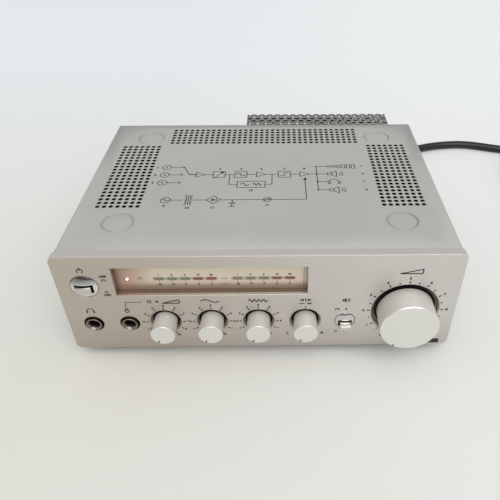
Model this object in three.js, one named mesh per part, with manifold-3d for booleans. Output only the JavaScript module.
// Compact stereo amplifier with a level meter, five rotary knobs and a mains lead. Millimetres, +Z up.
// X runs to the right seen from the front, Y from the front to the back, and Z = 0 is the surface it stands on.
// The cabinet is measured from the lower edge of its front panel, whose face lies at Y = 0 of the cabinet.

import * as THREE from "three";
import { mergeGeometries, mergeVertices } from "three/addons/utils/BufferGeometryUtils.js";
import Module from "manifold-3d";

const wasm = await Module();
wasm.setup();

// Clearances and working values
const SEAT = 0.3; // gap between pieces that rest on each other
const RUNNING = 0.3; // gap all round a turning shaft or a sliding stem
const OVERRUN = 2; // how far a cutting tool runs past the face it cuts
const MERGE_WITHIN = 1e-4; // vertices nearer than this are one vertex

// Front panel, a shallow aluminium tray with its open side to the back
const PANEL_WIDTH = 254;
const PANEL_HEIGHT = 80;
const PANEL_DEPTH = 6;
const PANEL_SKIN = 2.2;
const PANEL_RIM = 2;
const PANEL_CORNER = 4.5;
const PANEL_EDGE = 0.8;

// Places on the panel: shares of its width from the left edge, and of its height from the lower edge
const PLACE_SHARES = {
  power: [0.0697, 0.7075],
  phones: [0.0657, 0.2963],
  mic: [0.1583, 0.2963],
  mix: [0.2516, 0.3113],
  bass: [0.372, 0.3113],
  treble: [0.4925, 0.3113],
  balance: [0.613, 0.3113],
  speaker: [0.7169, 0.305],
  volume: [0.8693, 0.42],
  window: [0.1421, 0.6075],
};

// Meter window
const WINDOW_WIDTH = 120.7;
const WINDOW_HEIGHT = 22.5;
const METER_DEPTH = 6.2;
const METER_WALL = 1.2;
const BAR_HEIGHT = 1.9;
const BAR_SPACE = 1.15; // between one bar and the next
const BAR_CLEARANCE = 0.12;
const FIRST_BAR_SHARE = 0.2229; // of the window's width, as the next three are
const CHANNEL_SHARE = 0.411;
const PITCH_SHARE = 0.0684;
const LAMP_SHARE = 0.0563;
const BAR_RISE_SHARE = 0.3778; // of the window's height
const GREEN_BARS = 3;
const RED_BARS = 2;
const LENS_PLATE = 1;
const LENS_PLATE_HEIGHT = 6;
const LED_RADIUS = 1.5;
const METER_BOARD_MARGIN = 1.5;
const BOARD_THICKNESS = 1.6;

// Knobs, their places on the panel and the pots behind them
const KNOB_NAMES = ["mix", "bass", "treble", "balance"];
const KNOB_RADIUS = 7.5;
const KNOB_REACH = 12.5;
const KNOB_SIDES = 16;
const WELL_GAP = 2.6;
const VOLUME_RADIUS = 18.4;
const VOLUME_REACH = 16.7;
const VOLUME_SIDES = 24;
const VOLUME_WELL_GAP = 3.5;
const KNOB_FLARE = 0.25; // a knob's face is this much larger in radius than its back edge
const KNOB_CHAMFER = 0.6;
const KNOB_TUCK = 0.9; // how far a knob's back edge sinks into its well
const WELL_BEVEL = 0.8;
const WELL_LEDGE = 1;
const MARK_WIDTH = 0.9;
const MARK_DEPTH = 0.5;
const MARK_LENGTH = 2.2;
const REST_ANGLE = THREE.MathUtils.degToRad(150); // a knob at its stop points this far left of the top
const SHAFT_RADIUS = 3;
const SHAFT_SIDES = 10;
const KNOB_WEB = 2.3; // metal between a knob's face and its blind bore
const POT_RADIUS = 8.2;
const VOLUME_POT_RADIUS = 12;
const POT_DEPTH = 9;
const BUSHING_RADIUS = 4.2;
const BUSHING_REACH = 3; // how far the bushing stands in front of the bracket
const LUG_WIDTH = 12;
const LUG_HEIGHT = 5;
const LUG_THICKNESS = 2;
const CONTROL_BOARD_MARGIN = 4;

// Pull switch behind the balance control
const PULL_TRAVEL = 4;
const PIN_RADIUS = 1.5;
const RIVET_RADIUS = 2.6;
const RIVET_LENGTH = 1.2;
const SLIDER_WIDTH = 9;
const SLIDER_HEIGHT = 7;
const SLIDER_LENGTH = 6.4;
const PULL_CASE_WALL = 1.2;
const PULL_CASE_LENGTH = 16;

// Push switches with domed surrounds. A button's middle lies a little under the middle of its dome
const DOME_CLEARANCE = 0.3;
const power = {
  hole: 8.8, dome: 2.1, drop: 1.1, buttonWidth: 9.6, buttonHeight: 4.7, slack: 1, proud: 1.4, travel: 4,
  stem: 4, caseSize: 15, caseLength: 18, sides: 20,
};
const speaker = {
  hole: 6.8, dome: 1.7, drop: 1.4, buttonWidth: 7.4, buttonHeight: 3.6, slack: 0.8, proud: 4.9, travel: -3.5,
  stem: 3, caseSize: 12, caseLength: 9, sides: 16,
};
const BUTTON_BEVEL = 0.4;
const BUTTON_BLOCK = 4.6; // length of a button's wide end behind the dome's top
const STEM_SLACK = 0.5;

// Jacks for 6.35 mm plugs
const JACK_GAP = 1.25; // between the ferrule and the panel
const FERRULE_WALL = 1.8;
const FERRULE_PROUD = 1.5;
const JACK_BORE_RADIUS = 3.35;
const JACK_FLARE = 0.95; // how much wider the mouth is than the bore
const JACK_MOUTH_DEPTH = 1.4;
const JACK_BORE_DEPTH = 31;
const JACK_BODY_WIDTH = 15;
const JACK_BODY_HEIGHT = 16;
const JACK_BODY_LENGTH = 27;
const JACK_SIDES = 12;

// Steel pieces of the cabinet
const COVER_INSET = 2; // each side, from the panel's side edge
const COVER_LENGTH = 172.6;
const COVER_WALL = 1;
const COVER_BEND = 2.5;
const COVER_DROP = 0.3; // the cover's top lies this far under the panel's top
const COVER_LIFT = 1; // its lower edges lie this far above the panel's lower edge
const TRAY_WALL = 1;
const TRAY_LIFT = 1;
const TRAY_FLANGE = 12;
const PLATE_WALL = 1.2; // front bracket and rear panel
const BRACKET_FLANGE = 10;
const GUARD_SHEET = 1;

// Vents in the top cover and dimples over the feet
const VENT_PITCH = 4.5;
const VENT_RADIUS = 1.7;
const VENT_SIDES = 4;
const VENT_EDGE = 14.4; // from the cover's side to the outermost column
const VENT_BACK = 9.7; // from the cover's back edge to the last row
const VENT_BREAK = 6.4; // between the side blocks and the rear block
const SIDE_VENTS = [7, 20]; // columns and rows
const REAR_VENTS = [34, 6];
const DIMPLE_RADIUS = 10.85;
const DIMPLE_DEPTH = 0.4;

// Feet
const FOOT_HEIGHT = 8;
const FOOT_BASE_RADIUS = 9.4;
const FOOT_TOP_RADIUS = 10.8;
const FOOT_ROUND = 0.8;
const FOOT_SIDE = 32.4; // from the cover's side, to the foot's centre
const FOOT_FRONT = 30;
const FOOT_BACK = 23.2;
const FOOT_SIDES = 16;

// Main board and what stands on it
const MAIN_BOARD_LEFT = 3; // from the transformer's clamp
const MAIN_BOARD_FRONT = 36; // from the front bracket
const MAIN_BOARD_SIDE = 6; // from the cabinet's right wall
const MAIN_BOARD_BACK = 14; // from the rear panel
const POST_HEIGHT = 7;
const POST_RADIUS = 3;
const POST_INSET = 8;
const CAPACITOR_RADIUS = 12.5;
const CAPACITOR_HEIGHT = 40;
const CAPACITOR_SPACING = 32;
const CAPACITOR_INSET = 24; // from the board's left edge
const CAPACITOR_DEPTH = 52; // from the board's back edge
const FUSE_LENGTH = 20;
const FUSE_RADIUS = 2.6;
const CLIP_SIZE = 6;
const CLIP_WALL = 4;
const FUSE_INSET = 20;

// Power transformer
const CORE_WIDTH = 58;
const CORE_HEIGHT = 48;
const CORE_STACK = 24;
const LIMB = 9.5;
const WINDING_GAP = 1.1; // between the winding and the outer limbs
const CLAMP_WALL = 1;
const CLAMP_EAR = 9;
const TRANSFORMER_SIDE = 14; // from the cabinet's left wall
const TRANSFORMER_DEPTH = 104; // centre of the core, from the front bracket

// Heat sink outside the rear panel, under its perforated guard
const GUARD_WIDTH = 122;
const GUARD_INSET = 20.6; // from the panel's right edge
const GUARD_REACH = 23;
const GUARD_RISE = 14;
const GUARD_CORNER = 3;
const GUARD_HOLE_RADIUS = 2.4;
const GUARD_COLUMN_PITCH = 6.9;
const GUARD_ROW_PITCH = 4.4;
const SINK_MARGIN = 4; // between the sink's sides and the guard
const SINK_CLEARANCE = 1.9; // between the guard and the sink's fins and ends
const SINK_BASE = 4;
const FIN_COUNT = 14;
const FIN_THICKNESS = 1.6;
const MODULE_WIDTH = 60;
const MODULE_HEIGHT = 26;
const MODULE_DEPTH = 8;
const MODULE_RISE = 24;

// Sockets on the rear panel
const SOCKET_COLUMNS = 4;
const SOCKET_ROWS = 2;
const SOCKET_PITCH = 14;
const SOCKET_MARGIN = 2;
const SOCKET_RADIUS = 4.2;
const SOCKET_BORE = 1.8;
const SOCKET_LENGTH = 8;
const SOCKET_SIDES = 8;
const SOCKET_FLANGE = 2.3;
const SOCKET_SIDE = 5.5; // from the cabinet's left wall
const SOCKET_DROP = 8.7; // from the cover's top
const OUTLET_RISE = 10;
const OUTLET_PITCH = 15;
const OUTLET_RADIUS = 6.2;
const OUTLET_DISH = 1.6;
const OUTLET_CORE = 1.9;

// Mains lead
const CORD_RADIUS = 4.05;
const CORD_SIDES = 8;
const CORD_STEP = 17;
const CORD_CLEARANCE = 0.1; // above the surface
const RELIEF_INSET = 9.7; // from the cabinet's right wall
const RELIEF_RISE = 16;
const RELIEF_COLLAR_RADIUS = 7.2;
const RELIEF_COLLAR = 2.6;
const RELIEF_NECK_RADIUS = 5.6;
const RELIEF_REACH = 30.4;
const RELIEF_INSIDE = 5;
const RELIEF_SIDES = 12;
const COIL_CENTRE = [311.1, 220.6]; // X, and Y from the panel's face
const COIL_RADIUS = 54.2;
const COIL_PITCH = 8.7;
const COIL_TURNS_IN = 2.5;
const COIL_TURNS_OUT = 2.75;
const COIL_START = THREE.MathUtils.degToRad(75.1);
const COIL_TAIL = 26; // straight end before the plug
const COIL_STEPS = 24;
const COIL_SIDES = 6;
const PLUG_HALF = 13;
const PLUG_RADIUS = 18;
const PLUG_FACE_LENGTH = 12;
const PLUG_LENGTH = 36;
const PLUG_NECK = 16;
const PLUG_NECK_RADIUS = 5.4;
const PLUG_SIDES = 16;
const PRONG_RADIUS = 2.3;
const PRONG_LENGTH = 19;
const PRONG_SPACING = 19;

// Places worked out from the sizes above
const placeX = (name) => (PLACE_SHARES[name][0] - 0.5) * PANEL_WIDTH;
const placeZ = (name) => PLACE_SHARES[name][1] * PANEL_HEIGHT;
const COVER_WIDTH = PANEL_WIDTH - 2 * COVER_INSET;
const COVER_FRONT = PANEL_DEPTH + SEAT;
const COVER_BACK = COVER_FRONT + COVER_LENGTH;
const COVER_TOP = PANEL_HEIGHT - COVER_DROP;
const INNER_HALF = COVER_WIDTH / 2 - COVER_WALL;
const TRAY_WIDTH = 2 * (INNER_HALF - SEAT);
const TRAY_FLOOR = TRAY_LIFT + TRAY_WALL;
const PLATE_WIDTH = TRAY_WIDTH - 2 * (TRAY_WALL + SEAT);
const PLATE_BOTTOM = TRAY_FLOOR + SEAT;
const PLATE_TOP = COVER_TOP - COVER_WALL - SEAT;
const BRACKET_BACK = COVER_FRONT + PLATE_WALL;
const PARTS_FRONT = BRACKET_BACK + SEAT; // front of the pots, switches and jacks
const REAR_INSIDE = COVER_BACK - PLATE_WALL;
const WINDOW_LEFT = placeX("window");
const WINDOW_RISE = placeZ("window");
const WINDOW_X = WINDOW_LEFT + WINDOW_WIDTH / 2;
const WINDOW_Z = WINDOW_RISE + WINDOW_HEIGHT / 2;
const BACKING_FRONT = PANEL_SKIN + SEAT;
const BAR_PITCH = PITCH_SHARE * WINDOW_WIDTH;
const BAR_LENGTH = BAR_PITCH - BAR_SPACE;
const BAR_Z = WINDOW_RISE + BAR_RISE_SHARE * WINDOW_HEIGHT;
const [POWER_X, POWER_Z] = [placeX("power"), placeZ("power")];
const [SPEAKER_X, SPEAKER_Z] = [placeX("speaker"), placeZ("speaker")];
const [POWER_KEY_Z, SPEAKER_KEY_Z] = [POWER_Z - power.drop, SPEAKER_Z - speaker.drop];
const FERRULE_RADIUS = JACK_BORE_RADIUS + FERRULE_WALL;
const JACK_HOLE_RADIUS = FERRULE_RADIUS + JACK_GAP;
const JACKS = ["phones", "mic"].map((name) => [`${name}_jack`, placeX(name), placeZ(name)]);
const CONTROLS = KNOB_NAMES.map((name) => ({
  name, x: placeX(name), z: placeZ(name), radius: KNOB_RADIUS, reach: KNOB_REACH, sides: KNOB_SIDES,
  well: KNOB_RADIUS + WELL_GAP, pot: POT_RADIUS,
}));
CONTROLS.push({
  name: "volume", x: placeX("volume"), z: placeZ("volume"), radius: VOLUME_RADIUS, reach: VOLUME_REACH,
  sides: VOLUME_SIDES, well: VOLUME_RADIUS + VOLUME_WELL_GAP, pot: VOLUME_POT_RADIUS,
});
const BALANCE = CONTROLS[KNOB_NAMES.indexOf("balance")];
const BOARD_FRONT = PARTS_FRONT + POT_DEPTH + SEAT;
const BOARD_BACK = BOARD_FRONT + BOARD_THICKNESS;
const GUARD_FRONT = COVER_BACK + SEAT;
const GUARD_BACK = COVER_BACK + GUARD_REACH;
const GUARD_X = PANEL_WIDTH / 2 - GUARD_INSET - GUARD_WIDTH / 2;
const RELIEF_X = INNER_HALF - RELIEF_INSET;
const FOOT_X = COVER_WIDTH / 2 - FOOT_SIDE;
const FOOT_ROWS = [["front", COVER_FRONT + FOOT_FRONT], ["rear", COVER_BACK - FOOT_BACK]];

// Finishes
const finish = (name, color, roughness, metalness) =>
  new THREE.MeshStandardMaterial({ name, color, roughness, metalness, flatShading: true });
const SATIN_ALUMINIUM = finish("satin aluminium", 0xb5aea4, 0.42, 0.85);
const TURNED_ALUMINIUM = finish("turned aluminium", 0xd2d1cc, 0.38, 0.8);
const CHROME = finish("chrome", 0xdadad8, 0.12, 1);
const PAINTED_STEEL = finish("painted steel", 0xb2afa9, 0.5, 0.15);
const ZINC_STEEL = finish("zinc plated steel", 0xa9a9a4, 0.45, 0.8);
const BARE_STEEL = finish("bare steel sheet", 0x8f918c, 0.4, 0.85);
const BLACK_PLASTIC = finish("black plastic", 0x1b1b1c, 0.55, 0);
const CREAM_PLASTIC = finish("cream plastic", 0xc9bca8, 0.5, 0);
const GREEN_LENS = finish("green lens", 0x8d9a86, 0.35, 0);
const RED_LENS = finish("red lens", 0x9c6156, 0.35, 0);
const RED_LED = finish("red lamp", 0xff8a6e, 0.25, 0);
const BOARD = finish("circuit board", 0x9a7b45, 0.6, 0);
const DARK_RUBBER = finish("dark rubber", 0x232324, 0.8, 0);
const CORD_PLASTIC = finish("cord plastic", 0x191c23, 0.45, 0);
const RESIN = finish("brown resin", 0x5a3d28, 0.55, 0);
const LAMINATIONS = finish("core laminations", 0x4a4742, 0.55, 0.5);
const WINDING_TAPE = finish("winding tape", 0xb49a3c, 0.6, 0);
const CAN_SLEEVE = finish("capacitor sleeve", 0x22406a, 0.4, 0);
const SINK_METAL = finish("heat sink aluminium", 0x2c2d2e, 0.5, 0.6);
const FUSE_GLASS = finish("fuse glass", 0xc8d0d0, 0.1, 0);

// Solids from geometry, and geometry from solids
function solid(shape) {
  if (shape instanceof wasm.Manifold) return shape;
  const bare = shape.index ? shape.toNonIndexed() : shape.clone();
  bare.deleteAttribute("normal");
  bare.deleteAttribute("uv");
  const merged = mergeVertices(bare, MERGE_WITHIN);
  const corners = merged.index.array;
  const kept = [];
  for (let i = 0; i < corners.length; i += 3) {
    const [a, b, c] = corners.slice(i, i + 3);
    if (a !== b && b !== c && c !== a) kept.push(a, b, c);
  }
  const triVerts = new Uint32Array(kept);
  const vertProperties = merged.attributes.position.array;
  return new wasm.Manifold(new wasm.Mesh({ numProp: 3, vertProperties, triVerts }));
}

function surface(shape) {
  if (!(shape instanceof wasm.Manifold)) return shape;
  const mesh = shape.getMesh();
  const geometry = new THREE.BufferGeometry();
  geometry.setAttribute("position", new THREE.BufferAttribute(new Float32Array(mesh.vertProperties), 3));
  geometry.setIndex(new THREE.BufferAttribute(new Uint32Array(mesh.triVerts), 1));
  geometry.computeVertexNormals();
  return geometry;
}

const cut = (base, ...tools) => tools.reduce((left, tool) => left.subtract(solid(tool)), solid(base));
const join = (base, ...parts) => parts.reduce((sum, part) => sum.add(solid(part)), solid(base));
const common = (base, other) => solid(base).intersect(solid(other));

// A named piece placed in its group
function piece(group, name, shape, material, x = 0, y = 0, z = 0) {
  const mesh = new THREE.Mesh(surface(shape), material);
  mesh.name = name;
  mesh.position.set(x, y, z);
  group.add(mesh);
  return mesh;
}

// A block given by its two limits on each axis
function block([x0, x1], [y0, y1], [z0, z1]) {
  const geometry = new THREE.BoxGeometry(x1 - x0, y1 - y0, z1 - z0);
  return geometry.translate((x0 + x1) / 2, (y0 + y1) / 2, (z0 + z1) / 2);
}

// A round bar along Y, centred on x and z
function bar(radius, front, back, sides, x = 0, z = 0, frontRadius = radius) {
  const geometry = new THREE.CylinderGeometry(radius, frontRadius, back - front, sides);
  return geometry.translate(x, (front + back) / 2, z);
}

// A round bar along Z, centred on x and y
function post(radius, bottom, top, sides, x = 0, y = 0, topRadius = radius) {
  const geometry = new THREE.CylinderGeometry(topRadius, radius, top - bottom, sides);
  return geometry.rotateX(Math.PI / 2).translate(x, y, (bottom + top) / 2);
}

// A profile of radius and Y turned about Y, whichever way its points run
function turned(profile, sides) {
  const points = profile.map(([radius, y]) => new THREE.Vector2(radius, y));
  if (THREE.ShapeUtils.area(points) < 0) points.reverse();
  const [first, last] = [points[0], points[points.length - 1]];
  if (first.x > 0 || last.x > 0) points.push(first.clone());
  return new THREE.LatheGeometry(points, sides);
}

// A rectangle with round corners, centred on x and z
function roundedOutline(width, height, radius, x = 0, z = 0) {
  const [right, top] = [width / 2 - radius, height / 2 - radius];
  const outline = new THREE.Shape();
  outline.absarc(x + right, z + top, radius, 0, Math.PI / 2);
  outline.absarc(x - right, z + top, radius, Math.PI / 2, Math.PI);
  outline.absarc(x - right, z - top, radius, Math.PI, 1.5 * Math.PI);
  outline.absarc(x + right, z - top, radius, 1.5 * Math.PI, 2 * Math.PI);
  return outline;
}

// An outline in X and Z thickened along Y
function slab(outline, front, back, options = {}) {
  const settings = { depth: back - front, bevelEnabled: false, curveSegments: 2, ...options };
  return new THREE.ExtrudeGeometry(outline, settings).rotateX(Math.PI / 2).translate(0, back, 0);
}

const polygon = (points) => new THREE.Shape(points.map(([x, y]) => new THREE.Vector2(x, y)));

// Front panel: a bevelled blank hollowed from behind, then opened for the window, wells, jacks and domes
function frontPanel() {
  const middle = PANEL_HEIGHT / 2;
  const bevel = {
    bevelEnabled: true, bevelThickness: PANEL_EDGE, bevelSize: PANEL_EDGE,
    bevelOffset: -PANEL_EDGE, bevelSegments: 2,
  };
  const outline = roundedOutline(PANEL_WIDTH, PANEL_HEIGHT, PANEL_CORNER, 0, middle);
  const blank = slab(outline, PANEL_EDGE, PANEL_DEPTH + OVERRUN, bevel);
  const wide = [-PANEL_WIDTH, PANEL_WIDTH];
  const behind = block(wide, [PANEL_DEPTH, PANEL_DEPTH + 2 * OVERRUN + PANEL_EDGE], wide);
  const [innerWidth, innerHeight] = [PANEL_WIDTH - 2 * PANEL_RIM, PANEL_HEIGHT - 2 * PANEL_RIM];
  const pocketOutline = roundedOutline(innerWidth, innerHeight, PANEL_CORNER - PANEL_RIM, 0, middle);
  const pocket = slab(pocketOutline, PANEL_SKIN, PANEL_DEPTH + OVERRUN);
  const window = block(
    [WINDOW_X - WINDOW_WIDTH / 2, WINDOW_X + WINDOW_WIDTH / 2],
    [-OVERRUN, PANEL_SKIN + OVERRUN],
    [WINDOW_RISE, WINDOW_RISE + WINDOW_HEIGHT],
  );
  const holes = CONTROLS.flatMap(({ x, z, well, sides }) => [
    bar(well, -OVERRUN, PANEL_SKIN + OVERRUN, sides, x, z),
    bar(well, -WELL_BEVEL, WELL_BEVEL, sides, x, z, well + 2 * WELL_BEVEL),
  ]);
  const through = [-OVERRUN, PANEL_SKIN + OVERRUN];
  const jackHoles = JACKS.map(([, x, z]) => bar(JACK_HOLE_RADIUS, ...through, JACK_SIDES, x, z));
  const domeHoles = [
    bar(power.hole, ...through, power.sides, POWER_X, POWER_Z),
    bar(speaker.hole, ...through, speaker.sides, SPEAKER_X, SPEAKER_Z),
  ];
  return cut(blank, behind, pocket, window, ...holes, ...jackHoles, ...domeHoles);
}

// An opening as wide and high as a button plus its slack, cut right through a plate
function buttonOpening({ buttonWidth, buttonHeight, slack }, x, z, front, back) {
  const [half, rise] = [buttonWidth / 2 + slack, buttonHeight / 2 + slack];
  return block([x - half, x + half], [front - OVERRUN, back + OVERRUN], [z - rise, z + rise]);
}

// Moulded backing inside the panel, whose round openings make the dark wells behind the knobs
function panelBacking() {
  const [width, height] = [PANEL_WIDTH - 2 * (PANEL_RIM + SEAT), PANEL_HEIGHT - 2 * (PANEL_RIM + SEAT)];
  const outline = roundedOutline(width, height, PANEL_CORNER - PANEL_RIM, 0, PANEL_HEIGHT / 2);
  const margin = METER_WALL + SEAT;
  const through = [BACKING_FRONT - OVERRUN, PANEL_DEPTH + OVERRUN];
  const window = block(
    [WINDOW_X - WINDOW_WIDTH / 2 - margin, WINDOW_X + WINDOW_WIDTH / 2 + margin],
    through,
    [WINDOW_RISE - margin, WINDOW_RISE + WINDOW_HEIGHT + margin],
  );
  const wells = CONTROLS.map(({ x, z, well, sides }) => bar(well - WELL_LEDGE, ...through, sides, x, z));
  const jackHoles = JACKS.map(([, x, z]) => bar(JACK_HOLE_RADIUS, ...through, JACK_SIDES, x, z));
  const openings = [
    buttonOpening(power, POWER_X, POWER_KEY_Z, BACKING_FRONT, PANEL_DEPTH),
    buttonOpening(speaker, SPEAKER_X, SPEAKER_KEY_Z, BACKING_FRONT, PANEL_DEPTH),
  ];
  return cut(slab(outline, BACKING_FRONT, PANEL_DEPTH), window, ...wells, ...jackHoles, ...openings);
}

// Front bracket: a steel channel behind the panel that carries every control
function frontBracket() {
  const back = COVER_FRONT + BRACKET_FLANGE;
  const section = polygon([
    [COVER_FRONT, PLATE_BOTTOM], [back, PLATE_BOTTOM], [back, PLATE_BOTTOM + PLATE_WALL],
    [BRACKET_BACK, PLATE_BOTTOM + PLATE_WALL], [BRACKET_BACK, PLATE_TOP - PLATE_WALL],
    [back, PLATE_TOP - PLATE_WALL], [back, PLATE_TOP], [COVER_FRONT, PLATE_TOP],
  ]);
  const channel = new THREE.ExtrudeGeometry(section, { depth: PLATE_WIDTH, bevelEnabled: false });
  channel.rotateX(Math.PI / 2).rotateZ(Math.PI / 2).translate(-PLATE_WIDTH / 2, 0, 0);
  const margin = METER_WALL + SEAT;
  const through = [COVER_FRONT - OVERRUN, BRACKET_BACK + OVERRUN];
  const window = block(
    [WINDOW_X - WINDOW_WIDTH / 2 - margin, WINDOW_X + WINDOW_WIDTH / 2 + margin],
    through,
    [WINDOW_RISE - margin, WINDOW_RISE + WINDOW_HEIGHT + margin],
  );
  const bushings = CONTROLS.map(({ x, z }) => bar(BUSHING_RADIUS + SEAT, ...through, SHAFT_SIDES, x, z));
  const ferrules = JACKS.map(([, x, z]) => bar(FERRULE_RADIUS + SEAT, ...through, JACK_SIDES, x, z));
  const stems = [[power, POWER_X, POWER_KEY_Z], [speaker, SPEAKER_X, SPEAKER_KEY_Z]].map(([{ stem }, x, z]) => {
    const half = stem / 2 + STEM_SLACK;
    return block([x - half, x + half], through, [z - half, z + half]);
  });
  return cut(channel, window, ...bushings, ...ferrules, ...stems);
}

// Places of the ten level bars, channel by channel
const barX = (channel, i) =>
  WINDOW_LEFT + (FIRST_BAR_SHARE + channel * CHANNEL_SHARE) * WINDOW_WIDTH + i * BAR_PITCH;
const LED_X = WINDOW_LEFT + LAMP_SHARE * WINDOW_WIDTH;
const METER_BACK = METER_DEPTH + METER_WALL;

// A level bar or its slot: a flat six-sided lozenge with pointed ends for the round ones
function barShape(x, length, height, front, back) {
  const [half, rise] = [length / 2, height / 2];
  const outline = polygon([
    [x - half, BAR_Z], [x - half + rise, BAR_Z - rise], [x + half - rise, BAR_Z - rise],
    [x + half, BAR_Z], [x + half - rise, BAR_Z + rise], [x - half + rise, BAR_Z + rise],
  ]);
  return slab(outline, front, back);
}

// Meter scale: a cream tray with its open side to the front and a slot for each level bar
function meterScale() {
  const [left, right] = [WINDOW_X - WINDOW_WIDTH / 2, WINDOW_X + WINDOW_WIDTH / 2];
  const [bottom, top] = [WINDOW_RISE, WINDOW_RISE + WINDOW_HEIGHT];
  const blank = block(
    [left - METER_WALL, right + METER_WALL], [BACKING_FRONT, METER_BACK],
    [bottom - METER_WALL, top + METER_WALL],
  );
  const recess = block([left, right], [BACKING_FRONT - OVERRUN, METER_DEPTH], [bottom, top]);
  const slots = [0, 1].flatMap((channel) =>
    Array.from({ length: GREEN_BARS + RED_BARS }, (_, i) =>
      barShape(barX(channel, i), BAR_LENGTH, BAR_HEIGHT, METER_DEPTH - OVERRUN, METER_BACK + OVERRUN)),
  );
  const lamp = bar(LED_RADIUS + SEAT, METER_DEPTH - OVERRUN, METER_BACK + OVERRUN, SHAFT_SIDES, LED_X, BAR_Z);
  return cut(blank, recess, ...slots, lamp);
}

// A coloured lens strip whose raised bars fill the slots of the scale
function lensStrip(channel, first, count) {
  const [front, back] = [METER_BACK + SEAT, METER_BACK + SEAT + LENS_PLATE];
  const half = BAR_PITCH / 2 - SEAT;
  const [rise, last] = [LENS_PLATE_HEIGHT / 2, first + count - 1];
  const plate = block(
    [barX(channel, first) - half, barX(channel, last) + half], [front, back], [BAR_Z - rise, BAR_Z + rise],
  );
  const bars = Array.from({ length: count }, (_, i) =>
    barShape(
      barX(channel, first + i), BAR_LENGTH - 2 * BAR_CLEARANCE, BAR_HEIGHT - 2 * BAR_CLEARANCE,
      METER_DEPTH, back,
    ));
  return join(plate, ...bars);
}

const METER_BOARD_FRONT = METER_BACK + 2 * SEAT + LENS_PLATE;

// Power lamp: a round-nosed lamp standing on the meter board
function powerLamp() {
  const [tip, seat] = [METER_DEPTH - LED_RADIUS / 2, METER_BOARD_FRONT - SEAT];
  const shoulder = tip + LED_RADIUS;
  const nose = [0, 1, 2].map((i) => {
    const angle = (i * Math.PI) / 4;
    return [LED_RADIUS * Math.sin(angle), shoulder - LED_RADIUS * Math.cos(angle)];
  });
  return turned([...nose, [LED_RADIUS, seat], [0, seat]], SHAFT_SIDES);
}

// Domed chrome surround of a push switch, open in the middle for the button
function domedSurround(size) {
  const radius = size.hole - DOME_CLEARANCE;
  const sphere = (radius * radius + size.dome * size.dome) / (2 * size.dome);
  const reach = Math.asin(radius / sphere);
  const steps = 4;
  const arc = Array.from({ length: steps + 1 }, (_, i) => {
    const angle = (reach * i) / steps;
    return [sphere * Math.sin(angle), sphere * (1 - Math.cos(angle)) - size.dome];
  });
  const dome = turned([...arc, [radius, PANEL_SKIN], [0, PANEL_SKIN]], size.sides);
  return cut(dome, buttonOpening(size, 0, -size.drop, -size.dome, PANEL_SKIN));
}

// Push button: a wide end in the surround and a thin stem that reaches into the switch
function pushButton(size) {
  const front = -(size.dome + size.proud);
  const outline = roundedOutline(size.buttonWidth, size.buttonHeight, BUTTON_BEVEL);
  const bevel = {
    bevelEnabled: true, bevelThickness: BUTTON_BEVEL, bevelSize: BUTTON_BEVEL,
    bevelOffset: -BUTTON_BEVEL, bevelSegments: 1, curveSegments: 1,
  };
  const end = BUTTON_BLOCK - size.dome - Math.max(0, -size.travel);
  const head = slab(outline, front + BUTTON_BEVEL, end - BUTTON_BEVEL, bevel);
  const half = size.stem / 2;
  const tip = PARTS_FRONT + stemDepth(size) - SEAT - Math.max(0, -size.travel);
  return join(head, block([-half, half], [end - BUTTON_BLOCK / 2, tip], [-half, half]));
}

const stemDepth = (size) => Math.abs(size.travel) + size.stem;

// Push switch: a moulded case with a square pocket for the stem
function pushSwitch(size) {
  const [half, hole] = [size.caseSize / 2, size.stem / 2 + RUNNING];
  const body = block([-half, half], [PARTS_FRONT, PARTS_FRONT + size.caseLength], [-half, half]);
  const pocket = block([-hole, hole], [PARTS_FRONT - OVERRUN, PARTS_FRONT + stemDepth(size)], [-hole, hole]);
  return cut(body, pocket);
}

// Jack: a chrome ferrule through the panel and a moulded body with a blind bore
function jack() {
  const mouth = -FERRULE_PROUD;
  const half = JACK_BODY_WIDTH / 2;
  const body = block(
    [-half, half], [PARTS_FRONT, PARTS_FRONT + JACK_BODY_LENGTH], [-JACK_BODY_HEIGHT / 2, JACK_BODY_HEIGHT / 2],
  );
  const ferrule = bar(FERRULE_RADIUS, mouth, PARTS_FRONT + OVERRUN, JACK_SIDES);
  const bore = bar(JACK_BORE_RADIUS, mouth - OVERRUN, mouth + JACK_BORE_DEPTH, JACK_SIDES);
  const wide = JACK_BORE_RADIUS + JACK_FLARE * (1 + OVERRUN / JACK_MOUTH_DEPTH);
  const flare = bar(JACK_BORE_RADIUS, mouth - OVERRUN, mouth + JACK_MOUTH_DEPTH, JACK_SIDES, 0, 0, wide);
  return cut(join(body, ferrule), bore, flare);
}

// Knob: a turned cap with a chamfered face, a blind bore for the shaft and a groove as its mark
function knob({ radius, reach, sides }) {
  const bore = SHAFT_RADIUS + SEAT;
  const face = radius + KNOB_FLARE;
  const cap = turned([
    [0, -reach], [face - KNOB_CHAMFER, -reach], [face, KNOB_CHAMFER - reach], [radius, KNOB_TUCK],
    [bore, KNOB_TUCK], [bore, KNOB_WEB - reach], [0, KNOB_WEB - reach],
  ], sides);
  const half = MARK_WIDTH / 2;
  const groove = block(
    [-half, half], [-reach - OVERRUN, MARK_DEPTH - reach], [face - MARK_LENGTH, face + OVERRUN],
  );
  return cut(cap, groove.rotateY(-REST_ANGLE));
}

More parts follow.
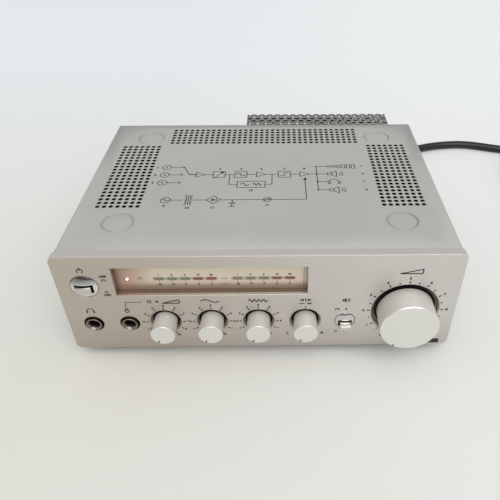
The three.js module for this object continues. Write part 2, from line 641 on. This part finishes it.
// Pot: a round case with a threaded bushing in front, open right through, and a strip of lugs below
function pot({ pot: radius }) {
  const [front, back] = [COVER_FRONT - BUSHING_REACH, PARTS_FRONT + POT_DEPTH];
  const bore = SHAFT_RADIUS + RUNNING;
  const body = turned([
    [bore, front], [BUSHING_RADIUS, front], [BUSHING_RADIUS, PARTS_FRONT],
    [radius, PARTS_FRONT], [radius, back], [bore, back],
  ], SHAFT_SIDES);
  const half = LUG_WIDTH / 2;
  const strip = block(
    [-half, half], [back - LUG_THICKNESS, back], [-radius - LUG_HEIGHT, -(radius + LUG_HEIGHT) / 2],
  );
  return join(body, strip);
}

// Shaft of an ordinary control, from the knob's bore to the back of its pot
function shaft({ reach }) {
  return bar(SHAFT_RADIUS, KNOB_WEB + SEAT - reach, PARTS_FRONT + POT_DEPTH - SEAT, SHAFT_SIDES);
}

const PIN_FRONT = BOARD_BACK + PULL_TRAVEL;
const SLIDER_FRONT = PIN_FRONT + SEAT;
const SLIDER_BACK = SLIDER_FRONT + SLIDER_LENGTH;

// Shaft of the balance control, which runs on through the board to a riveted pin in the pull switch
function balanceShaft() {
  const front = KNOB_WEB + SEAT - BALANCE.reach;
  const rivet = SLIDER_BACK + SEAT;
  return turned([
    [0, front], [SHAFT_RADIUS, front], [SHAFT_RADIUS, PIN_FRONT], [PIN_RADIUS, PIN_FRONT],
    [PIN_RADIUS, rivet], [RIVET_RADIUS, rivet], [RIVET_RADIUS, rivet + RIVET_LENGTH], [0, rivet + RIVET_LENGTH],
  ], SHAFT_SIDES);
}

// Slider of the pull switch: it is held on the pin, and moves in and out with the shaft
function pullSlider() {
  const [half, rise] = [SLIDER_WIDTH / 2, SLIDER_HEIGHT / 2];
  const body = block([-half, half], [SLIDER_FRONT, SLIDER_BACK], [-rise, rise]);
  return cut(body, bar(PIN_RADIUS + RUNNING, SLIDER_FRONT - OVERRUN, SLIDER_BACK + OVERRUN, SHAFT_SIDES));
}

// Case of the pull switch: a square tube behind the board
function pullSwitch() {
  const front = BOARD_BACK + SEAT;
  const [half, rise] = [SLIDER_WIDTH / 2 + RUNNING, SLIDER_HEIGHT / 2 + RUNNING];
  const [outer, outerRise] = [half + PULL_CASE_WALL, rise + PULL_CASE_WALL];
  const body = block([-outer, outer], [front, front + PULL_CASE_LENGTH], [-outerRise, outerRise]);
  return cut(body, block([-half, half], [front - OVERRUN, front + PULL_CASE_LENGTH + OVERRUN], [-rise, rise]));
}

// Control board: an upright board soldered to the backs of the pots and the speaker switch
function controlBoard() {
  const xs = CONTROLS.map(({ x, pot: radius }) => [x - radius, x + radius]).flat();
  const zs = CONTROLS.map(({ z, pot: radius }) => [z - radius - LUG_HEIGHT, z + radius]).flat();
  const plate = block(
    [Math.min(...xs) - CONTROL_BOARD_MARGIN, Math.max(...xs) + CONTROL_BOARD_MARGIN],
    [BOARD_FRONT, BOARD_BACK],
    [Math.max(PLATE_BOTTOM + 2 * PLATE_WALL, Math.min(...zs)), Math.max(...zs) + CONTROL_BOARD_MARGIN],
  );
  const through = [BOARD_FRONT - OVERRUN, BOARD_BACK + OVERRUN];
  return cut(plate, bar(SHAFT_RADIUS + STEM_SLACK, ...through, SHAFT_SIDES, BALANCE.x, BALANCE.z));
}

// One tool for many small holes through a level sheet
function punch(places, radius, bottom, top) {
  return mergeGeometries(places.map(([x, y]) => post(radius, bottom, top, VENT_SIDES, x, y)));
}

// Places in a block of columns and rows, from its first column and its last row
function grid([columns, rows], left, back) {
  return Array.from({ length: columns * rows }, (_, i) => {
    const column = i % columns;
    return [left + column * VENT_PITCH, back - ((i - column) / columns) * VENT_PITCH];
  });
}

// Vents: a block down each side of the cover and a wide one across its back
function ventPlaces() {
  const edge = COVER_WIDTH / 2 - VENT_EDGE;
  const rear = COVER_BACK - VENT_BACK;
  const side = rear - (REAR_VENTS[1] - 1) * VENT_PITCH - VENT_BREAK;
  return [
    ...grid(SIDE_VENTS, -edge, side),
    ...grid(SIDE_VENTS, edge - (SIDE_VENTS[0] - 1) * VENT_PITCH, side),
    ...grid(REAR_VENTS, -((REAR_VENTS[0] - 1) * VENT_PITCH) / 2, rear),
  ];
}

// Top cover: one sheet bent over the top and both sides
function topCover() {
  const [half, inner] = [COVER_WIDTH / 2, INNER_HALF];
  const arc = (x, radius, from, to, clockwise) => ({ x, radius, from, to, clockwise });
  const outline = new THREE.Shape();
  const bendZ = COVER_TOP - COVER_BEND;
  const bend = ({ x, radius, from, to, clockwise }) => outline.absarc(x, bendZ, radius, from, to, clockwise);
  outline.moveTo(half, COVER_LIFT);
  bend(arc(half - COVER_BEND, COVER_BEND, 0, Math.PI / 2, false));
  bend(arc(COVER_BEND - half, COVER_BEND, Math.PI / 2, Math.PI, false));
  outline.lineTo(-half, COVER_LIFT);
  outline.lineTo(-inner, COVER_LIFT);
  bend(arc(COVER_BEND - half, COVER_BEND - COVER_WALL, Math.PI, Math.PI / 2, true));
  bend(arc(half - COVER_BEND, COVER_BEND - COVER_WALL, Math.PI / 2, 0, true));
  outline.lineTo(inner, COVER_LIFT);
  const dimples = FOOT_ROWS.flatMap(([, y]) => [-FOOT_X, FOOT_X].map((x) =>
    post(DIMPLE_RADIUS, COVER_TOP - DIMPLE_DEPTH, COVER_TOP + OVERRUN, FOOT_SIDES, x, y)));
  const vents = punch(ventPlaces(), VENT_RADIUS, COVER_TOP - COVER_WALL - OVERRUN, COVER_TOP + OVERRUN);
  return cut(slab(outline, COVER_FRONT, COVER_BACK), ...dimples, vents);
}

// Limits of the main board, and the places of its four posts
const CLAMP_RIGHT = TRANSFORMER_SIDE + CORE_WIDTH + SEAT + CLAMP_EAR - INNER_HALF;
const MAIN_BOARD_X = [CLAMP_RIGHT + MAIN_BOARD_LEFT, INNER_HALF - MAIN_BOARD_SIDE];
const MAIN_BOARD_Y = [BRACKET_BACK + MAIN_BOARD_FRONT, REAR_INSIDE - MAIN_BOARD_BACK];

function postPlaces() {
  const inset = ([low, high]) => [low + POST_INSET, high - POST_INSET];
  return inset(MAIN_BOARD_X).flatMap((x) => inset(MAIN_BOARD_Y).map((y) => [x, y]));
}

// Chassis tray: the floor with folded side flanges and posts for the main board
function chassisTray() {
  const half = TRAY_WIDTH / 2;
  const inner = half - TRAY_WALL;
  const section = polygon([
    [-half, TRAY_LIFT], [half, TRAY_LIFT], [half, TRAY_LIFT + TRAY_FLANGE], [inner, TRAY_LIFT + TRAY_FLANGE],
    [inner, TRAY_FLOOR], [-inner, TRAY_FLOOR],
    [-inner, TRAY_LIFT + TRAY_FLANGE], [-half, TRAY_LIFT + TRAY_FLANGE],
  ]);
  const [bottom, top] = [TRAY_FLOOR - TRAY_WALL / 2, TRAY_FLOOR + POST_HEIGHT];
  const posts = postPlaces().map(([x, y]) => post(POST_RADIUS, bottom, top, SOCKET_SIDES, x, y));
  return join(slab(section, COVER_FRONT, COVER_BACK), ...posts);
}

const SOCKET_LEFT = SOCKET_SIDE - INNER_HALF;
const SOCKET_PAD_WIDTH = SOCKET_COLUMNS * SOCKET_PITCH;
const SOCKET_PAD_HEIGHT = SOCKET_ROWS * SOCKET_PITCH;
const SOCKET_RISE = COVER_TOP - SOCKET_DROP - SOCKET_PAD_HEIGHT;
const OUTLET_PAD_WIDTH = SOCKET_COLUMNS * OUTLET_PITCH;

// Rear panel: a flat plate opened for the socket blocks, the output module and the mains lead
function rearPanel() {
  const half = PLATE_WIDTH / 2;
  const through = [REAR_INSIDE - OVERRUN, COVER_BACK + OVERRUN];
  const padHole = (width, rise, height) =>
    block([SOCKET_LEFT - SEAT, SOCKET_LEFT + width + SEAT], through, [rise - SEAT, rise + height + SEAT]);
  return cut(
    block([-half, half], [REAR_INSIDE, COVER_BACK], [PLATE_BOTTOM, PLATE_TOP]),
    padHole(SOCKET_PAD_WIDTH, SOCKET_RISE, SOCKET_PAD_HEIGHT),
    padHole(OUTLET_PAD_WIDTH, OUTLET_RISE, OUTLET_PITCH),
    bar(RELIEF_NECK_RADIUS + SEAT, ...through, RELIEF_SIDES, RELIEF_X, RELIEF_RISE),
  );
}

// A moulded block behind the rear panel with a pad that fills the panel's opening
function socketBlock(width, height) {
  const back = REAR_INSIDE - SEAT;
  const flange = block(
    [-SOCKET_MARGIN, width + SOCKET_MARGIN], [back - SOCKET_FLANGE, back],
    [-SOCKET_MARGIN, height + SOCKET_MARGIN],
  );
  return join(flange, block([0, width], [back - SOCKET_FLANGE / 2, COVER_BACK], [0, height]));
}

// Input sockets: two rows of coaxial sockets on one block
function inputSockets() {
  const centres = [];
  for (let row = 0; row < SOCKET_ROWS; row++) {
    for (let column = 0; column < SOCKET_COLUMNS; column++) {
      centres.push([(column + 0.5) * SOCKET_PITCH, (row + 0.5) * SOCKET_PITCH]);
    }
  }
  const tip = COVER_BACK + SOCKET_LENGTH;
  const shells = centres.map(([x, z]) => bar(SOCKET_RADIUS, REAR_INSIDE, tip, SOCKET_SIDES, x, z));
  const bores = centres.map(([x, z]) => bar(SOCKET_BORE, COVER_BACK, tip + OVERRUN, SOCKET_COLUMNS, x, z));
  return cut(join(socketBlock(SOCKET_PAD_WIDTH, SOCKET_PAD_HEIGHT), ...shells), ...bores);
}

// Speaker outlets: four dished sockets, each with a round pin hole and a flat one
function speakerOutlets() {
  const tools = Array.from({ length: SOCKET_COLUMNS }, (_, i) => {
    const [x, z] = [(i + 0.5) * OUTLET_PITCH, OUTLET_PITCH / 2];
    const dish = bar(OUTLET_RADIUS, COVER_BACK - OUTLET_DISH, COVER_BACK + OVERRUN, SOCKET_SIDES, x, z);
    const deep = [REAR_INSIDE - SOCKET_FLANGE / 2, COVER_BACK];
    const round = bar(OUTLET_CORE, ...deep, SOCKET_SIDES / 2, x, z - OUTLET_RADIUS / 2);
    const flat = block(
      [x - OUTLET_CORE, x + OUTLET_CORE], deep,
      [z + OUTLET_RADIUS / 2 - OUTLET_CORE / 3, z + OUTLET_RADIUS / 2 + OUTLET_CORE / 3],
    );
    return [dish, round, flat];
  }).flat();
  return cut(socketBlock(OUTLET_PAD_WIDTH, OUTLET_PITCH), ...tools);
}

// Foot: a plain rubber foot, narrower at the bottom, under the tray
function foot() {
  const top = FOOT_HEIGHT + TRAY_LIFT - SEAT;
  return turned([
    [0, 0], [FOOT_BASE_RADIUS - FOOT_ROUND, 0], [FOOT_BASE_RADIUS, FOOT_ROUND], [FOOT_TOP_RADIUS, top], [0, top],
  ], FOOT_SIDES).rotateX(Math.PI / 2);
}

// Heat sink: an extruded comb with its fins to the back
function heatSink() {
  const half = GUARD_WIDTH / 2 - GUARD_SHEET - SINK_MARGIN;
  const tip = GUARD_REACH - SEAT - GUARD_SHEET - SINK_CLEARANCE;
  const height = COVER_TOP - GUARD_RISE - GUARD_SHEET - 2 * SINK_CLEARANCE;
  const pitch = (2 * half - FIN_THICKNESS) / (FIN_COUNT - 1);
  const points = [[half, 0], [-half, 0]];
  for (let i = 0; i < FIN_COUNT; i++) {
    const left = i * pitch - half;
    const right = left + FIN_THICKNESS;
    if (i > 0) points.push([left, SINK_BASE]);
    points.push([left, tip], [right, tip]);
    if (i < FIN_COUNT - 1) points.push([right, SINK_BASE]);
  }
  return new THREE.ExtrudeGeometry(polygon(points.reverse()), { depth: height, bevelEnabled: false });
}

// Guard: a sheet bent round the heat sink, open to the panel and at the bottom
function heatSinkGuard() {
  const [half, reach] = [GUARD_WIDTH / 2, GUARD_REACH - SEAT];
  const height = COVER_TOP - GUARD_RISE;
  const hood = (inset, depth, bottom, top) => {
    const outline = new THREE.Shape();
    const [side, corner] = [half - inset, GUARD_CORNER - inset];
    outline.moveTo(-side, depth);
    outline.lineTo(side, depth);
    outline.absarc(side - corner, reach - inset - corner, corner, 0, Math.PI / 2);
    outline.absarc(corner - side, reach - inset - corner, corner, Math.PI / 2, Math.PI);
    const settings = { depth: top - bottom, bevelEnabled: false, curveSegments: 1 };
    return new THREE.ExtrudeGeometry(outline, settings).translate(0, 0, bottom);
  };
  const shell = cut(hood(0, 0, 0, height), hood(GUARD_SHEET, -OVERRUN, -OVERRUN, height - GUARD_SHEET));
  return cut(shell, punch(guardHoles(), GUARD_HOLE_RADIUS, height - 2 * GUARD_SHEET, height + OVERRUN));
}

// Holes in the guard's top, in staggered rows whose last one runs into the bend
function guardHoles() {
  const last = GUARD_REACH - SEAT - GUARD_SHEET;
  const columns = Math.floor((GUARD_WIDTH - 2 * GUARD_CORNER) / GUARD_COLUMN_PITCH) + 1;
  const rows = Math.floor(last / GUARD_ROW_PITCH) + 1;
  return Array.from({ length: rows }, (_, row) => {
    const count = columns - (row % 2);
    const left = (-(count - 1) * GUARD_COLUMN_PITCH) / 2;
    const depth = last - row * GUARD_ROW_PITCH;
    return Array.from({ length: count }, (_, i) => [left + i * GUARD_COLUMN_PITCH, depth]);
  }).flat();
}

const COIL_HEIGHT = CORE_HEIGHT - 2 * LIMB - 2 * SEAT;

// Transformer core: stacked plates with a window each side of the centre limb
function transformerCore() {
  const window = (CORE_WIDTH - 4 * LIMB) / 2;
  const outer = [[-1, -1], [1, -1], [1, 1], [-1, 1]].map(([x, z]) => [x * CORE_WIDTH / 2, z * CORE_HEIGHT / 2]);
  const hole = (side) => {
    const [near, far] = [side * LIMB, side * (LIMB + window)];
    const [low, high] = [LIMB - CORE_HEIGHT / 2, CORE_HEIGHT / 2 - LIMB];
    return block([Math.min(near, far), Math.max(near, far)], [-CORE_STACK, CORE_STACK], [low, high]);
  };
  return cut(slab(polygon(outer), -CORE_STACK / 2, CORE_STACK / 2), hole(-1), hole(1));
}

// Winding on its bobbin, round the centre limb
function transformerWinding() {
  const [limb, depth] = [LIMB + SEAT, CORE_STACK / 2 + SEAT];
  const half = COIL_HEIGHT / 2;
  const side = CORE_WIDTH / 2 - LIMB - WINDING_GAP;
  const thickness = side - limb;
  const outer = roundedOutline(2 * side, 2 * (depth + thickness), thickness / 4);
  const hole = block([-limb, limb], [-depth, depth], [-CORE_HEIGHT, CORE_HEIGHT]);
  const body = new THREE.ExtrudeGeometry(outer, { depth: COIL_HEIGHT, bevelEnabled: false, curveSegments: 1 });
  return cut(body.translate(0, 0, -half), hole);
}

// Clamp: a strap over the core with an ear at each foot
function transformerClamp() {
  const [half, top] = [CORE_WIDTH / 2 + SEAT, CORE_HEIGHT / 2 + SEAT];
  const bottom = -CORE_HEIGHT / 2;
  const wall = CLAMP_WALL;
  const outline = polygon([
    [-half - CLAMP_EAR, bottom], [-half, bottom], [-half, top],
    [half, top], [half, bottom], [half + CLAMP_EAR, bottom],
    [half + CLAMP_EAR, bottom + wall], [half + wall, bottom + wall], [half + wall, top + wall],
    [-half - wall, top + wall], [-half - wall, bottom + wall], [-half - CLAMP_EAR, bottom + wall],
  ]);
  return slab(outline, -CORE_STACK / 3, CORE_STACK / 3);
}

// Fuse: a glass tube between two spring clips
function mainsFuse() {
  const half = FUSE_LENGTH / 2;
  const lift = CLIP_SIZE / 2 + FUSE_RADIUS / 2;
  const tube = new THREE.CylinderGeometry(FUSE_RADIUS, FUSE_RADIUS, FUSE_LENGTH, JACK_SIDES / 2);
  const clips = [-1, 1].map((side) => {
    const x = side * (half - CLIP_WALL / 2);
    return block([x - CLIP_WALL / 2, x + CLIP_WALL / 2], [-CLIP_SIZE / 2, CLIP_SIZE / 2], [0, CLIP_SIZE]);
  });
  const base = block([-half, half], [-CLIP_SIZE / 2, CLIP_SIZE / 2], [0, CLIP_WALL / 4]);
  return join(base, tube.rotateZ(Math.PI / 2).translate(0, 0, lift), ...clips);
}

// Strain relief: a collar outside the panel, a neck through it and a long taper round the lead
function strainRelief() {
  const outside = COVER_BACK + SEAT;
  return turned([
    [0, REAR_INSIDE - RELIEF_INSIDE], [RELIEF_NECK_RADIUS, REAR_INSIDE - RELIEF_INSIDE],
    [RELIEF_NECK_RADIUS, outside],
    [RELIEF_COLLAR_RADIUS, outside], [RELIEF_COLLAR_RADIUS, outside + RELIEF_COLLAR],
    [RELIEF_NECK_RADIUS, outside + RELIEF_COLLAR], [CORD_RADIUS + SEAT, COVER_BACK + RELIEF_REACH],
    [0, COVER_BACK + RELIEF_REACH],
  ], RELIEF_SIDES);
}

// Mains lead on the surface: the hand-chosen route from the strain relief to the coil
const REST_Z = CORD_RADIUS + CORD_CLEARANCE;
const EXIT_Z = FOOT_HEIGHT + RELIEF_RISE;
const COIL_HEADING = new THREE.Vector3(Math.sin(COIL_START), -Math.cos(COIL_START), 0);
const COIL_ENTRY = new THREE.Vector3(
  COIL_CENTRE[0] + COIL_RADIUS * Math.cos(COIL_START),
  COIL_CENTRE[1] + COIL_RADIUS * Math.sin(COIL_START), REST_Z,
).addScaledVector(COIL_HEADING, -2 * CORD_RADIUS);
const ROUTE_START = COVER_BACK + RELIEF_REACH + SEAT;
const ROUTE = [
  [RELIEF_X, ROUTE_START, EXIT_Z], [RELIEF_X, 219, 23.8], [114.8, 229, 22.4], [116.2, 239, 19],
  [119.2, 248.6, 14.2], [123.9, 257.8, 9.3], [130.4, 266.6, 5.9], [138.9, 275, 4.4], [149.2, 282.6, REST_Z],
  [160.4, 289.2, REST_Z], [171.8, 294.2, REST_Z], [184, 298.2, REST_Z], [197, 301.1, REST_Z],
  [209.6, 302.4, REST_Z], [221.4, 302.2, REST_Z], [232.4, 300.1, REST_Z], [242.6, 296.8, REST_Z],
  [252.2, 293.4, REST_Z], [262.2, 290.4, REST_Z], [274, 287.1, REST_Z], [287, 283.6, REST_Z],
  [302, 279.6, REST_Z],
  COIL_ENTRY.clone().addScaledVector(COIL_HEADING, -SEAT).toArray(),
].map((point) => new THREE.Vector3(...point));

const ringOutline = (radius, sides) =>
  polygon(Array.from({ length: sides }, (_, i) => {
    const angle = (2 * Math.PI * (i + 0.5)) / sides;
    return [radius * Math.cos(angle), radius * Math.sin(angle)];
  }));

function cordTube(curve, steps, sides) {
  return new THREE.ExtrudeGeometry(ringOutline(CORD_RADIUS, sides), { extrudePath: curve, steps });
}

// The coil: a straight lead in, a spiral in on the surface, a climb where it turns, a spiral out and a
// straight end
class CoilCurve extends THREE.Curve {
  constructor() {
    super();
    this.arcLengthDivisions = 100 * COIL_STEPS;
    this.turns = COIL_TURNS_IN + COIL_TURNS_OUT;
    this.lead = (2 * CORD_RADIUS) / (2 * Math.PI * COIL_RADIUS);
    this.tail = COIL_TAIL / (2 * Math.PI * COIL_RADIUS);
  }

  onSpiral(turn) {
    const inner = COIL_RADIUS - COIL_PITCH * COIL_TURNS_IN;
    const radius = inner + COIL_PITCH * Math.abs(turn - COIL_TURNS_IN);
    const angle = COIL_START - 2 * Math.PI * turn;
    const climb = THREE.MathUtils.smoothstep(turn, COIL_TURNS_IN - 0.25, COIL_TURNS_IN + 0.25) * COIL_PITCH;
    const rest = PLUG_HALF - REST_Z - COIL_PITCH;
    const last = THREE.MathUtils.smoothstep(turn, this.turns - 0.5, this.turns) * rest;
    const [x, y] = COIL_CENTRE;
    return new THREE.Vector3(x + radius * Math.cos(angle), y + radius * Math.sin(angle), REST_Z + climb + last);
  }

  heading(turn) {
    const angle = COIL_START - 2 * Math.PI * turn;
    return new THREE.Vector3(Math.sin(angle), -Math.cos(angle), 0);
  }

  getPoint(t) {
    const turn = t * (this.turns + this.lead + this.tail) - this.lead;
    const along = Math.min(Math.max(turn, 0), this.turns);
    const past = (turn - along) * 2 * Math.PI * COIL_RADIUS;
    return this.onSpiral(along).addScaledVector(this.heading(along), past);
  }
}

const coilCurve = new CoilCurve();
const coilEnd = coilCurve.getPoint(1);
const coilWay = coilCurve.heading(coilCurve.turns);

// Least gap between one turn of the coil and another, on points a step apart
function coilGap() {
  const points = coilCurve.getSpacedPoints(2 * COIL_STEPS * Math.ceil(coilCurve.turns));
  let least = Infinity;
  points.forEach((a, i) => {
    for (let j = i + COIL_STEPS; j < points.length; j++) least = Math.min(least, a.distanceTo(points[j]));
  });
  return least - 2 * CORD_RADIUS;
}

// Plug: a round moulded body with two flat sides, a tapered neck and two prongs
function plug() {
  const [face, shoulder] = [PLUG_NECK + PLUG_LENGTH, PLUG_NECK + PLUG_LENGTH - PLUG_FACE_LENGTH];
  const body = turned([
    [0, 0], [CORD_RADIUS + SEAT, 0], [PLUG_NECK_RADIUS, PLUG_NECK],
    [(PLUG_NECK_RADIUS + PLUG_RADIUS) / 2, PLUG_NECK],
    [PLUG_RADIUS, shoulder], [PLUG_RADIUS, face], [0, face],
  ], PLUG_SIDES);
  const wide = [-2 * PLUG_RADIUS, 2 * PLUG_RADIUS];
  const flat = common(body, block(wide, [-OVERRUN, face + OVERRUN], [-PLUG_HALF, PLUG_HALF]));
  const prongs = [-1, 1].map((side) =>
    bar(PRONG_RADIUS, face - OVERRUN, face + PRONG_LENGTH, JACK_SIDES / 2, (side * PRONG_SPACING) / 2, 0));
  return join(flat, ...prongs);
}

// The whole amplifier
const amplifier = new THREE.Group();
amplifier.position.y = (VOLUME_REACH - GUARD_BACK) / 2;
const cabinet = new THREE.Group();
cabinet.position.z = FOOT_HEIGHT;
amplifier.add(cabinet);

// Front assembly
const front = new THREE.Group();
cabinet.add(front);
piece(front, "front_panel", frontPanel(), SATIN_ALUMINIUM);
piece(front, "panel_backing", panelBacking(), BLACK_PLASTIC);
piece(front, "front_bracket", frontBracket(), ZINC_STEEL);
piece(front, "meter_scale", meterScale(), CREAM_PLASTIC);
["left", "right"].forEach((side, channel) => {
  piece(front, `green_lens_${side}`, lensStrip(channel, 0, GREEN_BARS), GREEN_LENS);
  piece(front, `red_lens_${side}`, lensStrip(channel, GREEN_BARS, RED_BARS), RED_LENS);
});
piece(front, "power_lamp", powerLamp(), RED_LED, LED_X, 0, BAR_Z);
const meterHalf = WINDOW_WIDTH / 2 - METER_BOARD_MARGIN;
const meterRise = WINDOW_HEIGHT / 2 - METER_BOARD_MARGIN;
const meterSpan = [METER_BOARD_FRONT, METER_BOARD_FRONT + BOARD_THICKNESS];
const meterBoard = block([-meterHalf, meterHalf], meterSpan, [-meterRise, meterRise]);
piece(front, "meter_board", meterBoard, BOARD, WINDOW_X, 0, WINDOW_Z);
piece(front, "power_surround", domedSurround(power), CHROME, POWER_X, 0, POWER_Z);
piece(front, "power_button", pushButton(power), CHROME, POWER_X, 0, POWER_KEY_Z);
piece(front, "power_switch", pushSwitch(power), BLACK_PLASTIC, POWER_X, 0, POWER_KEY_Z);
piece(front, "speaker_surround", domedSurround(speaker), CHROME, SPEAKER_X, 0, SPEAKER_Z);
piece(front, "speaker_button", pushButton(speaker), CHROME, SPEAKER_X, 0, SPEAKER_KEY_Z);
piece(front, "speaker_switch", pushSwitch(speaker), BLACK_PLASTIC, SPEAKER_X, 0, SPEAKER_KEY_Z);
JACKS.forEach(([name, x, z]) => piece(front, name, jack(), CHROME, x, 0, z));
CONTROLS.forEach((control) => {
  const { name, x, z } = control;
  piece(front, `${name}_knob`, knob(control), TURNED_ALUMINIUM, x, 0, z);
  piece(front, `${name}_shaft`, control === BALANCE ? balanceShaft() : shaft(control), ZINC_STEEL, x, 0, z);
  piece(front, `${name}_pot`, pot(control), ZINC_STEEL, x, 0, z);
});
piece(front, "control_board", controlBoard(), BOARD);
piece(front, "loudness_slider", pullSlider(), BLACK_PLASTIC, BALANCE.x, 0, BALANCE.z);
piece(front, "loudness_switch", pullSwitch(), BLACK_PLASTIC, BALANCE.x, 0, BALANCE.z);

// Casing
piece(cabinet, "top_cover", topCover(), PAINTED_STEEL);
piece(cabinet, "chassis_tray", chassisTray(), ZINC_STEEL);
piece(cabinet, "rear_panel", rearPanel(), PAINTED_STEEL);
for (const [row, y] of FOOT_ROWS) {
  piece(amplifier, `foot_${row}_left`, foot(), DARK_RUBBER, -FOOT_X, y);
  piece(amplifier, `foot_${row}_right`, foot(), DARK_RUBBER, FOOT_X, y);
}

// Power supply and amplifier inside
const transformer = new THREE.Group();
const coreZ = PLATE_BOTTOM + CORE_HEIGHT / 2;
const coreX = CORE_WIDTH / 2 + TRANSFORMER_SIDE - INNER_HALF;
transformer.position.set(coreX, BRACKET_BACK + TRANSFORMER_DEPTH, coreZ);
cabinet.add(transformer);
piece(transformer, "transformer_core", transformerCore(), LAMINATIONS);
piece(transformer, "transformer_winding", transformerWinding(), WINDING_TAPE);
piece(transformer, "transformer_clamp", transformerClamp(), ZINC_STEEL);
const boardBottom = TRAY_FLOOR + POST_HEIGHT + SEAT;
const boardTop = boardBottom + BOARD_THICKNESS + SEAT;
const boardZ = [boardBottom, boardBottom + BOARD_THICKNESS];
piece(cabinet, "main_board", block(MAIN_BOARD_X, MAIN_BOARD_Y, boardZ), BOARD);
["left", "right"].forEach((side, i) => {
  const can = post(CAPACITOR_RADIUS, 0, CAPACITOR_HEIGHT, JACK_SIDES);
  const x = MAIN_BOARD_X[0] + CAPACITOR_INSET + i * CAPACITOR_SPACING;
  piece(cabinet, `filter_capacitor_${side}`, can, CAN_SLEEVE, x, MAIN_BOARD_Y[1] - CAPACITOR_DEPTH, boardTop);
});
const [fuseX, fuseY] = [MAIN_BOARD_X[0] + FUSE_INSET, MAIN_BOARD_Y[0] + FUSE_INSET];
piece(cabinet, "mains_fuse", mainsFuse(), FUSE_GLASS, fuseX, fuseY, boardTop);
const moduleSpan = [REAR_INSIDE - SEAT - MODULE_DEPTH, REAR_INSIDE - SEAT];
const outputModule = block([-MODULE_WIDTH / 2, MODULE_WIDTH / 2], moduleSpan, [0, MODULE_HEIGHT]);
piece(cabinet, "output_module", outputModule, RESIN, GUARD_X, 0, MODULE_RISE);

// Back
piece(cabinet, "input_sockets", inputSockets(), BLACK_PLASTIC, SOCKET_LEFT, 0, SOCKET_RISE);
piece(cabinet, "speaker_outlets", speakerOutlets(), BLACK_PLASTIC, SOCKET_LEFT, 0, OUTLET_RISE);
piece(cabinet, "heat_sink", heatSink(), SINK_METAL, GUARD_X, GUARD_FRONT, GUARD_RISE + SINK_CLEARANCE);
piece(cabinet, "heat_sink_guard", heatSinkGuard(), BARE_STEEL, GUARD_X, GUARD_FRONT, GUARD_RISE);
piece(cabinet, "strain_relief", strainRelief(), CORD_PLASTIC, RELIEF_X, 0, RELIEF_RISE);

// Mains lead
const route = new THREE.CatmullRomCurve3(ROUTE, false, "centripetal");
const routeSteps = Math.round(route.getLength() / CORD_STEP);
piece(amplifier, "mains_cord", cordTube(route, routeSteps, CORD_SIDES), CORD_PLASTIC);
const coilSteps = Math.round(coilCurve.turns * COIL_STEPS);
piece(amplifier, "mains_cord_coil", cordTube(coilCurve, coilSteps, COIL_SIDES), CORD_PLASTIC);
const plugMesh = piece(amplifier, "mains_plug", plug(), CORD_PLASTIC);
plugMesh.position.copy(coilEnd).addScaledVector(coilWay, SEAT);
plugMesh.rotation.z = Math.atan2(coilWay.y, coilWay.x) - Math.PI / 2;

const [laidOut, coiled] = [route, coilCurve].map((curve) => curve.getLength().toFixed(0));
console.log(`mains lead: ${laidOut} mm laid out and ${coiled} mm coiled`);
console.log(`least gap between the coil's turns: ${coilGap().toFixed(2)} mm`);

export default amplifier;
